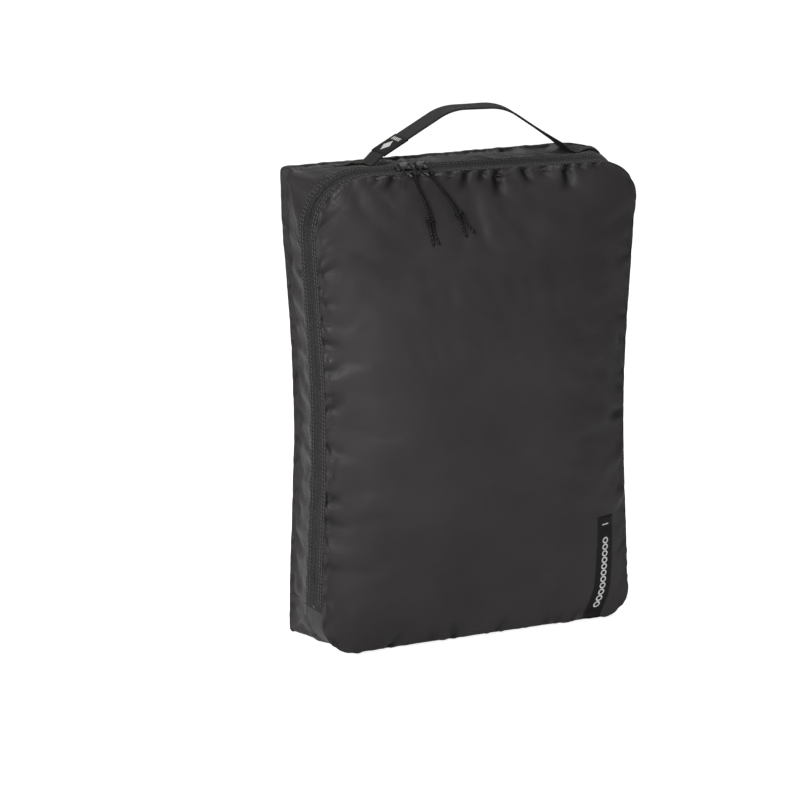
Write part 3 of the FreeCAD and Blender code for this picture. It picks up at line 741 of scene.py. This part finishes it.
def on_rings(along, row):
    """Place, tangent and outward normal on the rings at distances along and at fractional rows.
    Linear between rings, and along each ring."""
    along, row = np.broadcast_arrays(np.asarray(along, float), np.asarray(row, float))
    column = np.interp(along, ALONG, np.arange(ROUND + 1))

    def at(column, row):
        c, r = np.floor(column).astype(int), np.clip(np.floor(row).astype(int), 0, RINGS - 2)
        s, t = (column - c)[..., None], (row - r)[..., None]
        a, b = c % ROUND, (c + 1) % ROUND
        return ((1 - s) * (1 - t) * RING[r, a] + s * (1 - t) * RING[r, b]
                + (1 - s) * t * RING[r + 1, a] + s * t * RING[r + 1, b])

    place = at(column, row)
    tangent = unit(at(column + 0.5, row) - at(column - 0.5, row))
    across = unit(at(column, row + 0.25) - at(column, row - 0.25))
    return place, tangent, unit(np.cross(across, tangent))


def row_at(y):
    """The fractional row of the band at depth y."""
    return SEAM_ROW + (y - PANEL_Y) / (GUSSET_Y - PANEL_Y) * BAND_CELLS


def gusset_row(y):
    """The fractional row of the gusset at depth y."""
    return GUSSET_ROW + (y - GUSSET_Y) / (BACK_Y - GUSSET_Y) * GUSSET_CELLS


def lay_strip(name, y_from, y_to, cells, height, thickness, along=None, rows=None):
    """A strip of tape along the rings between two depths, standing height off their surface."""
    along = np.linspace(ALONG[ON_RIGHT], ALONG[ON_LEFT], 420) if along is None else along
    y = np.linspace(y_from, y_to, cells + 1)
    place, tangent, normal = on_rings(along[None, :], (rows or row_at)(y)[:, None])
    points = place + normal * height
    uv = np.stack(np.broadcast_arrays(along[None, :], y[:, None]), axis=-1)
    piece = mesh_object(name, points.reshape(-1, 3), grid_faces(cells + 1, len(along)), uv.reshape(-1, 2))
    modifier(piece, "SOLIDIFY", thickness=thickness, offset=-1.0)
    return apply_modifiers(piece)


# Ribbed weave: ribs across a tape at the pitch and finer threads along it, painted shade between and a painted
# highlight on top, over an unevenness in colour and gloss.
RIBBED, given, gives = shader_group("ribbed_weave", {"Pitch": "Float", **{
    key: kind for key, kind in FINISH_IN.items() if key != "Scale"}}, FINISH_OUT)
x, y = on_surface(RIBBED)
turn = maths(RIBBED, "DIVIDE", 2 * math.pi, given["Pitch"])
weave = maths(RIBBED, "MULTIPLY", ribs(RIBBED, x, turn), ribs(RIBBED, y, maths(RIBBED, "MULTIPLY", turn, 0.8)))
grain = noise(RIBBED, coordinates(RIBBED), 45.0)
# Painted shade and highlight from the ribs' height, mixed with an uneven grain, give the colour.
RIBBED.links.new(mix_color(RIBBED, ramp(RIBBED, maths(RIBBED, "ADD", weave, grain), -0.6, 1.6), given["Dark"],
                           given["Light"]), gives["Color"])
RIBBED.links.new(ramp(RIBBED, grain, 0.3, 0.7, given["Smooth"], given["Rough"]), gives["Roughness"])
RIBBED.links.new(weave, gives["Height"])

WOVEN_GLOSS = {"Sheen_Weight": 0.04, "Specular_IOR_Level": 0.3}
# The binding's colour ends: painted shade between its ribs and a painted highlight on them, mixed with grain.
BINDING_DARK, BINDING_LIGHT = (0.006, 0.006, 0.006), (0.018, 0.018, 0.018)
RIB_HEIGHT = 0.6, 0.0004
BINDING = grouped("binding", RIBBED, RIB_HEIGHT, tones(BINDING_DARK, BINDING_LIGHT, 0.55, 0.68, Pitch=BINDING_RIB),
                  **WOVEN_GLOSS)
below_zip = np.concatenate([np.linspace(ALONG[ON_LEFT], ALONG[-1] - 1e-6, 90),
                            ALONG[-1] + np.linspace(1e-6, ALONG[ON_RIGHT], 90)]) % ALONG[-1]
whole_way = np.append(np.linspace(0, ALONG[-1], 500)[:-1], ALONG[-1] - 1e-6)
front_seam = PANEL_Y + 0.0002, PANEL_Y + 0.0002 + BINDING_WIDTH
back_seam = BACK_Y - 0.0015 - BINDING_WIDTH, BACK_Y - 0.0015
for name, moves, node, depths, lies, way, rows in (
        ("front_binding", ON_LID, "lid_seam_binding", front_seam, -0.0011, None, None),
        ("foot_binding", ON_SHELL, "bottom_seam_binding", front_seam, -0.0011, below_zip, None),
        ("back_binding", ON_SHELL, "back_seam_binding", back_seam, -0.0012, whole_way, gusset_row)):
    finish_piece(lay_strip(name, *depths, 4, lies, BINDING_THICKNESS, way, rows), BINDING, "binding",
                 replaces=[node], **moves)


# ---------------- the zip's tapes
# Two herringbone tapes that meet over the coils, one sewn to the front panel and one to the gusset.
EDGE_GAP, TAPE_OVERLAP, TAPE_THICKNESS = 0.0002, 0.0005, 0.0008
CHEVRON, TWILL = 0.0024, 0.0023             # the width of a chevron, and the pitch of its slanting ribs
# The tape's colour ends: painted shade in the twill's grooves and a painted highlight on its ribs, mixed with grain.
TAPE_DARK, TAPE_LIGHT = (0.0008, 0.0008, 0.0008), (0.029, 0.0265, 0.0255)


def woven_tape():
    """Zip tape: herringbone, sin(2 pi (x + ping-pong of y) / TWILL), with a coarse grain, dull black; its colour has
    painted shade in the twill's grooves and a painted highlight on its ribs.
    """
    made, tree, principled = new_material("zip_tape", Sheen_Weight=0.03, Specular_IOR_Level=0.3)
    x, y = on_surface(tree)
    chevron = ribs(tree, maths(tree, "ADD", x, maths(tree, "PINGPONG", y, CHEVRON)), 2 * math.pi / TWILL)
    grain = noise(tree, coordinates(tree), 420.0, 2.0)
    woven = maths(tree, "ADD", chevron, ramp(tree, grain, 0.35, 0.65, -1.0, 1.0))
    # Painted shade and highlight: the colour follows the twill's ribs, with the grain mixed in.
    feed(tree, principled, Base_Color=mix_color(tree, ramp(tree, woven, -1.6, 1.6), TAPE_DARK, TAPE_LIGHT),
         Roughness=ramp(tree, noise(tree, coordinates(tree), 60.0), 0.3, 0.7, 0.52, 0.68),
         Normal=bump(tree, chevron, 0.8, 0.0005))
    return made


TAPE = woven_tape()
for name, moves, node, depths in (
        ("lid_tape", ON_LID, "lid_zip_tape", (PANEL_Y - TAPE_OVERLAP, ZIP_Y - EDGE_GAP)),
        ("gusset_tape", ON_SHELL, "gusset_zip_tape", (ZIP_Y + EDGE_GAP, GUSSET_Y + TAPE_OVERLAP))):
    finish_piece(lay_strip(name, *depths, 6, 0.0, TAPE_THICKNESS), TAPE, "zip_tape", replaces=[node], **moves)


# ---------------- the zip's coils
# Nylon monofilament wound in loops and sewn to the inside of each tape, the loops of one side half a
# pitch from those of the other.
COIL_PITCH = 0.0015
LOOP_LENGTH, LOOP_WIDTH, LOOP_HEIGHT = 0.0038, 0.0009, 0.0013
NYLON_DARK, NYLON_LIGHT = (0.006, 0.006, 0.006), (0.014, 0.014, 0.014)


def stamp(name, shape, faces, place, tangent, normal):
    """Copies of one small shape, each at its place: x along the tangent, z along the normal."""
    side = np.cross(normal, tangent)
    axes = np.stack([tangent, side, normal], axis=1)
    points = np.einsum("vk,nkj->nvj", shape, axes) + place[:, None]
    every = faces[None] + (np.arange(len(place)) * len(shape))[:, None, None]
    return mesh_object(name, points.reshape(-1, 3), every.reshape(-1, 4))


def bead(length, width, height, rings=4, sides=6):
    """A small bead along x with tapered round ends: points and quads."""
    t = np.linspace(-1, 1, rings)
    r = np.array([0.45, 1, 1, 0.45]) if rings == 4 else np.sqrt(np.maximum(1 - t ** 2, 0.1))
    a = np.arange(sides) * 2 * math.pi / sides
    points = np.stack([np.repeat(t * length / 2, sides), np.outer(r, np.cos(a)).ravel() * width / 2,
                       np.outer(r, np.sin(a)).ravel() * height / 2], axis=1)
    faces = grid_faces(rings, sides, closed=True)[:, ::-1]
    k = (rings - 1) * sides
    caps = [[0, 5, 4, 3], [0, 3, 2, 1], [k, k + 1, k + 2, k + 3], [k, k + 3, k + 4, k + 5]]
    return points, np.concatenate([faces, caps])


COIL = grouped("zip_coil", UNEVEN, (0.05, 0.0002), tones(NYLON_DARK, NYLON_LIGHT, 0.24, 0.36, Scale=300.0),
               Specular_IOR_Level=0.6)
for name, moves, node, sign in (("lid_coil", ON_LID, "lid_zip_coil", -1),
                                ("gusset_coil", ON_SHELL, "gusset_zip_coil", 1)):
    along = np.arange(ALONG[ON_RIGHT] + 0.002, ALONG[ON_LEFT] - 0.002, COIL_PITCH) + (sign + 1) * COIL_PITCH / 4
    place, tangent, normal = on_rings(along, row_at(ZIP_Y + sign * 0.0018))
    coil = stamp(name, *bead(LOOP_LENGTH, LOOP_WIDTH, LOOP_HEIGHT), place - normal * 0.0016,
                 np.cross(normal, tangent), normal)
    finish_piece(coil, COIL, "zip_coil", replaces=[node], **moves)


# ---------------- the zip's stitching
# Two rows of lock stitch in black polyester thread down each tape, one near its edge and one near
# the coil.
STITCH, STITCH_WIDTH, STITCH_HEIGHT = 0.0030, 0.0008, 0.0006
THREAD_DARK, THREAD_LIGHT = (0.060, 0.059, 0.057), (0.120, 0.118, 0.115)
THREAD = grouped("thread", UNEVEN, (0.4, 0.0002), tones(THREAD_DARK, THREAD_LIGHT, 0.39, 0.51, Scale=2500.0),
                 Specular_IOR_Level=0.4)
for name, moves, y in (("lid_stitches_inner", ON_LID, PANEL_Y + 0.0050),
                       ("lid_stitches_outer", ON_LID, PANEL_Y + 0.0016),
                       ("gusset_stitches_outer", ON_SHELL, GUSSET_Y - 0.0016),
                       ("gusset_stitches_inner", ON_SHELL, GUSSET_Y - 0.0050)):
    along = np.arange(ALONG[ON_RIGHT] + 0.002, ALONG[ON_LEFT] - 0.002, STITCH)
    place, tangent, normal = on_rings(along, row_at(y))
    stitches = stamp(name, *bead(STITCH * 0.78, STITCH_WIDTH, STITCH_HEIGHT), place + normal * 0.0002, tangent,
                     normal)
    finish_piece(stitches, THREAD, "thread", **moves)


# ---------------- the zip's end stops
# Small blocks of nylon moulded over both coils, which join the zip's two halves at each of its ends.
STOP_ROUNDING = 0.0009
for side in ("left", "right"):
    low, high = (np.array(corner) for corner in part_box("zip_end_stop_" + side))
    square = np.array([(0, 0), (1, 0), (1, 1), (0, 1)])
    corners = low + (high - low) * np.concatenate([np.insert(square, 2, level, axis=1) for level in (0, 1)])
    stop = mesh_object("end_stop_" + side, corners, [(0, 3, 2, 1), (4, 5, 6, 7), (0, 1, 5, 4), (1, 2, 6, 5),
                                                     (2, 3, 7, 6), (3, 0, 4, 7)])
    modifier(stop, "BEVEL", width=STOP_ROUNDING, segments=4)
    finish_piece(stop, COIL, "zip_coil", ride="shell", replaces=["zip_end_stop_" + side])


# ---------------- the sliders and wire pulls
# Die-cast sliders and bent wire, both in a dark plating that has rubbed bright at its edges, the bright edges
# also standing in as painted glints. Their shapes are the design's own; only their finish is made here.
PLATING, RUBBED_EDGE_GLINT = (0.055, 0.055, 0.058), (0.55, 0.55, 0.56)


def gunmetal():
    """Dark plated zinc with a fine speckle, bright at its sharp edges: partly rubbed plating, partly painted glints.
    """
    made, tree, principled = new_material("gunmetal", Metallic=1.0)
    speckle = noise(tree, coordinates(tree), 900.0)
    # Rubbed wear and painted glints: the colour goes bright where the surface is pointy, at the edges.
    worn_edge_glint = ramp(tree, shader(tree, "ShaderNodeNewGeometry").outputs["Pointiness"], 0.54, 0.64)
    feed(tree, principled, Base_Color=mix_color(tree, worn_edge_glint, PLATING, RUBBED_EDGE_GLINT),
         Roughness=ramp(tree, speckle, 0.3, 0.7, 0.16, 0.28), Normal=bump(tree, speckle, 0.08, 0.0001))
    return made


METAL = gunmetal()
for side in ("left", "right"):
    for node in ("slider_" + side, "pull_wire_" + side):
        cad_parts[node].data.materials.clear()
        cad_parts[node].data.materials.append(METAL)


# ---------------- the handle
# One length of 25 mm ribbed webbing, folded under and sewn to the top of the gusset at both ends.
# It bends where it leaves the bag, and the rest swings.
STRAP_LOW, STRAP_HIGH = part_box("handle_strap")
STRAP_Y = ((STRAP_LOW[1] + STRAP_HIGH[1]) / 2, (STRAP_HIGH[1] - STRAP_LOW[1]) / 2)
STRAP_X = (STRAP_LOW[0] + STRAP_HIGH[0]) / 2
WEB, WEB_RIB = 0.0016, 0.0016
SEWN, BEND, REACH = 0.018, 0.009, 0.082
RISING, FALLING = math.radians(29.5), math.radians(33.0)
STRAIGHTS, TOP_BEND, LEVEL = (0.0580, 0.0498), 0.040, 0.0212
SWINGS = ("shell", "handle", (STRAP_X, STRAP_Y[0], HEIGHT + WEB), (STRAP_X, STRAP_Y[0], HEIGHT + 0.0145))


def strap_path(count=220):
    """The webbing's middle line from one sewn end to the other: level, a bend, a straight rise, a
    wide bend, level over the top, a wide bend, a straight fall, a bend and level again. The slope is linear in each
    part, and x and z are its cosine and sine added up along the path."""
    parts = [SEWN, BEND * RISING, STRAIGHTS[0], TOP_BEND * RISING, LEVEL, TOP_BEND * FALLING, STRAIGHTS[1],
             BEND * FALLING, SEWN]
    stops = np.cumsum([0] + parts)
    s = np.unique(np.concatenate([np.linspace(0, stops[-1], count), stops]))
    slope = np.interp(s, stops, [0, 0, RISING, RISING, 0, 0, -FALLING, -FALLING, 0, 0])
    step = np.diff(s)
    middle = (slope[1:] + slope[:-1]) / 2
    x = np.concatenate([[0], np.cumsum(np.cos(middle) * step)])
    z = np.concatenate([[0], np.cumsum(np.sin(middle) * step)])
    x = (x - SEWN) / (x[-1] - 2 * SEWN) * 2 * REACH + STRAP_X - REACH
    return s, x, z - z[-1] * s / s[-1] + HEIGHT + WEB / 2, slope


def strap_roll(s, total):
    """How the webbing rolls as it falls: its front edge drops by up to 7 degrees on the right."""
    return -math.radians(7) * np.exp(-((s - 0.72 * total) / (0.13 * total)) ** 2)


def top_height(x, y):
    """Height of the gusset's top at (x, y), from the two rings on each side of y."""
    row = np.clip(gusset_row(y), GUSSET_ROW, RINGS - 1.001)
    top = RING[:, NX + NZ:2 * NX + NZ + 1][:, ::-1]
    heights = np.stack([np.interp(x, line[:, 0], line[:, 2]) for line in top[GUSSET_ROW:]])
    low = np.floor(row).astype(int) - GUSSET_ROW
    share = row - np.floor(row)
    at = np.indices(x.shape)
    return heights[(low, *at)] * (1 - share) + heights[(low + 1, *at)] * share


def sleeve(name, s_from, s_to, half_width, thickness, columns=13, crown=0.0):
    """A closed flat tube of rounded section along the webbing's path."""
    s_all, x_all, z_all, slope_all = strap_path()
    keep = np.linspace(s_from, s_to, max(8, int((s_to - s_from) / 0.0012)))
    x, z, slope = (np.interp(keep, s_all, values) for values in (x_all, z_all, slope_all))
    roll = strap_roll(keep, s_all[-1])
    u = np.linspace(-1, 1, columns)
    top = np.stack([u * half_width, np.full(columns, thickness / 2) + crown * (1 - u ** 2)], axis=1)
    under = np.stack([-u * half_width, np.full(columns, -thickness / 2) + crown * (1 - u ** 2)], axis=1)
    section = np.concatenate([top, under])
    section[[0, columns - 1, columns, -1], 1] *= 0.55
    w = section[None, :, 0] * np.cos(roll)[:, None] + section[None, :, 1] * np.sin(roll)[:, None]
    h = -section[None, :, 0] * np.sin(roll)[:, None] + section[None, :, 1] * np.cos(roll)[:, None]
    points = np.stack([x[:, None] - h * np.sin(slope)[:, None], STRAP_Y[0] + w,
                       z[:, None] + h * np.cos(slope)[:, None]], axis=-1)
    lies = np.clip(1 - (z - HEIGHT - WEB / 2) / 0.006, 0, 1)[:, None]
    points[..., 2] += lies * (top_height(points[..., 0], points[..., 1]) + 0.0002 - HEIGHT)
    faces = grid_faces(len(keep), 2 * columns, closed=True)
    n, last = 2 * columns, (len(keep) - 1) * 2 * columns
    k = np.arange(columns - 1)
    ends = [np.stack([base + k, base + k + 1, base + n - 2 - k, base + n - 1 - k], axis=1)[:, ::way]
            for base, way in ((0, 1), (last, -1))]
    uv = np.stack(np.broadcast_arrays(keep[:, None], np.concatenate([u, u[::-1]])[None] * half_width), axis=-1)
    return mesh_object(name, points.reshape(-1, 3), np.concatenate([faces, *ends]), uv.reshape(-1, 2))


STRAP_LENGTH = strap_path()[0][-1]
# The webbing's colour ends: painted shade between its ribs and a painted highlight on them, mixed with grain.
WEB_DARK, WEB_LIGHT = (0.0015, 0.0015, 0.0014), (0.016, 0.0152, 0.0135)
WEBBING = grouped("webbing", RIBBED, RIB_HEIGHT, tones(WEB_DARK, WEB_LIGHT, 0.52, 0.66, Pitch=WEB_RIB),
                  **WOVEN_GLOSS)
strap = sleeve("handle_webbing", 0.0, STRAP_LENGTH, STRAP_Y[1], WEB)
finish_piece(strap, WEBBING, "webbing", blend=SWINGS,
             replaces=["handle_strap", "handle_root_left", "handle_root_right", "handle_end_left",
                       "handle_end_right"])


# ---------------- the handle's stitching
# A box of lock stitches with a cross in it, in the zip's thread, holds down each end of the webbing.
BOX_INSET, BOX_STITCH = 0.003, 0.0026


def sewn_box(name, s_from, s_to, side):
    """The box of stitches with a cross in it that holds one end of the webbing down."""
    half = STRAP_Y[1] - BOX_INSET
    corners = np.array([(s_from, -half), (s_to, -half), (s_to, half), (s_from, half), (s_from, -half),
                        (s_to, half), (s_to, -half), (s_from, half)])
    s_all, x_all = strap_path()[:2]
    place, tangent = [], []
    for a, b in zip(corners[:-1], corners[1:]):
        count = int(np.linalg.norm(b - a) / BOX_STITCH)
        t = (np.arange(count) + 0.5) / count
        flat = a + (b - a) * t[:, None]
        x, y = np.interp(flat[:, 0], s_all, x_all), STRAP_Y[0] + flat[:, 1]
        place.append(np.stack([x, y, top_height(x, y) + WEB + 0.0003], axis=1))
        tangent.append(np.repeat([[*(b - a), 0] / np.linalg.norm(b - a)], count, axis=0))
    place, tangent = np.concatenate(place), np.concatenate(tangent)
    up = np.tile([0.0, 0.0, 1.0], (len(place), 1))
    stitches = stamp(name, *bead(0.0021, STITCH_WIDTH, STITCH_HEIGHT), place, tangent, up)
    finish_piece(stitches, THREAD, "thread", ride="shell", replaces=["handle_stitching_" + side])


for side, start in (("left", 0.0), ("right", STRAP_LENGTH - SEWN)):
    sewn_box("handle_stitches_" + side, start + BOX_INSET, start + SEWN - BOX_INSET, side)


# ---------------- the size tag
# A woven polyester tag folded round the webbing near its left end, with a plain pale mark on it: a
# diamond, and a column of short bars beside it.
TAG_FROM, TAG_LENGTH = SEWN + BEND * RISING + 0.008, 0.021
DIAMOND, BAR = 0.0058, 0.0016

# Woven label cloth: black, pale where the mark is, with a fine rib of threads along one coordinate.
WOVEN_LABEL, given, gives = shader_group("woven_label", {"Mark": "Float", "Across": "Float"}, FINISH_OUT)
thread = ribs(WOVEN_LABEL, given["Across"], 15000.0)
WOVEN_LABEL.links.new(mix_color(WOVEN_LABEL, given["Mark"], (0.004, 0.004, 0.004), (0.72, 0.72, 0.70)),
                      gives["Color"])
WOVEN_LABEL.links.new(ramp(WOVEN_LABEL, thread, -1, 1, 0.5, 0.62), gives["Roughness"])
WOVEN_LABEL.links.new(thread, gives["Height"])


def label_cloth(name, mark_on):
    """A woven label's material; mark_on(tree, x, y) gives where its mark is, 0 to 1, on its UV map."""
    made, tree, principled = new_material(name, Specular_IOR_Level=0.3)
    x, y = on_surface(tree)
    finish = shader(tree, "ShaderNodeGroup", {"Mark": mark_on(tree, x, y), "Across": y},
                    node_tree=WOVEN_LABEL).outputs
    feed(tree, principled, Base_Color=finish["Color"], Roughness=finish["Roughness"],
         Normal=bump(tree, finish["Height"], 0.3, 0.0002))
    return made


def near(tree, value, middle, reach):
    """1 where a value is within reach of middle, and 0 elsewhere."""
    return maths(tree, "LESS_THAN", maths(tree, "ABSOLUTE", maths(tree, "SUBTRACT", value, middle)), reach)


def tag_mark(tree, x, y):
    """A diamond, |x - middle| + |y| < DIAMOND, and a column of bars beside it."""
    middle = TAG_FROM + 0.0085
    from_middle = maths(tree, "ABSOLUTE", maths(tree, "SUBTRACT", x, middle))
    diamond = maths(tree, "LESS_THAN", maths(tree, "ADD", from_middle, maths(tree, "ABSOLUTE", y)), DIAMOND)
    bars = maths(tree, "LESS_THAN", maths(tree, "PINGPONG", y, BAR), 0.0009)
    column = maths(tree, "MULTIPLY", near(tree, x, middle + 0.0085, BAR), near(tree, y, 0.0, 0.008))
    return maths(tree, "MAXIMUM", diamond, maths(tree, "MULTIPLY", bars, column))


tag = sleeve("size_tag_cloth", TAG_FROM, TAG_FROM + TAG_LENGTH, STRAP_Y[1] + 0.0008, WEB + 0.0011)
finish_piece(tag, label_cloth("size_tag", tag_mark), "label", blend=SWINGS, replaces=["size_tag"])


# ---------------- the label
# A woven polyester strip sewn down the front near its right edge, from 88 mm up to the bottom seam,
# with a plain row of rings and one bar above them.
LABEL_LOW, LABEL_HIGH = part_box("label_strip")
LABEL_HALF = (LABEL_HIGH[0] - LABEL_LOW[0]) / 2
LABEL_PITCH, RING_RADIUS, RING_LINE = 0.0053, 0.0020, 0.00058
FIRST_RING, LAST_RING, BAR_Z = 2.5, 13.5, 0.0815


def label_mark(tree, x, z):
    """Rings a pitch apart down the middle, | sqrt(x^2 + down^2) - radius | < line, and a bar on top."""
    down = maths(tree, "PINGPONG", z, LABEL_PITCH / 2)
    squares = maths(tree, "ADD", maths(tree, "MULTIPLY", x, x), maths(tree, "MULTIPLY", down, down))
    radius = maths(tree, "SQRT", squares)
    middle, reach = (FIRST_RING + LAST_RING) / 2, (LAST_RING - FIRST_RING) / 2
    rings = maths(tree, "MULTIPLY", near(tree, radius, RING_RADIUS, RING_LINE),
                  near(tree, z, middle * LABEL_PITCH, reach * LABEL_PITCH))
    bar = maths(tree, "MULTIPLY", near(tree, x, 0.0, 0.0030), near(tree, z, BAR_Z, 0.0005))
    return maths(tree, "MAXIMUM", rings, bar)


# A grid in front of the panel, drifting left over its last 34 mm as (1 - z / 34 mm)^1.6, is dropped
# onto the panel along +Y and given its thickness.
x, z = np.meshgrid(np.linspace(-LABEL_HALF, LABEL_HALF, 9), np.linspace(0.0045, LABEL_HIGH[2], 60))
drift = -0.009 * np.clip(1 - z / 0.034, 0, 1) ** 1.6
points = np.stack([LABEL_LOW[0] + LABEL_HALF + x + drift, np.full(x.shape, FRONT_Y - 0.03), z], axis=-1)
label = mesh_object("label_cloth", points.reshape(-1, 3), grid_faces(60, 9), np.stack([x, z], axis=-1).reshape(-1, 2))
modifier(label, "SHRINKWRAP", target=front, wrap_method="PROJECT", use_project_y=True,
         use_positive_direction=True, use_negative_direction=False, offset=0.0004)
modifier(label, "SOLIDIFY", thickness=0.0005, offset=0.0)
apply_modifiers(label)
finish_piece(label, label_cloth("label", label_mark), "label", blend=FOLDS, replaces=["label_strip", "label_foot"])
